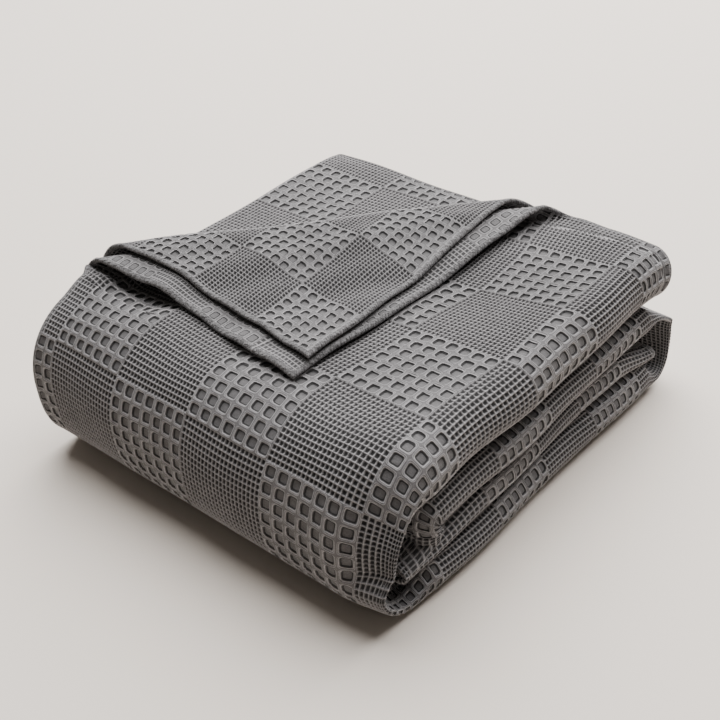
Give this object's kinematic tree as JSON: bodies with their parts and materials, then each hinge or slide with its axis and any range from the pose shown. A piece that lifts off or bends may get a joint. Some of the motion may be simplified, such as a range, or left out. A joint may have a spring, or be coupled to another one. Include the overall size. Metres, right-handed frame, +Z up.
{
  "type": "folded waffle weave blanket",
  "caption": "Cotton waffle weave blanket in a checker of large and small cells, folded into a thick rectangular stack, its top corner turned back",
  "frame": {"origin": "middle of the footprint's bounding box, on the surface that the blanket lies on", "axes": "+Z up; +X the side with the fold ridges, stacked one above another; -Y the side with the large rounded fold; the turned-back corner lies over the -X +Y corner"},
  "size_m": [0.3164, 0.3329, 0.1339],
  "materials": {
    "cotton": "matte waffle weave cotton"
  },
  "bodies": {
    "root": {"blanket": "cotton"}
  },
  "joints": []
}
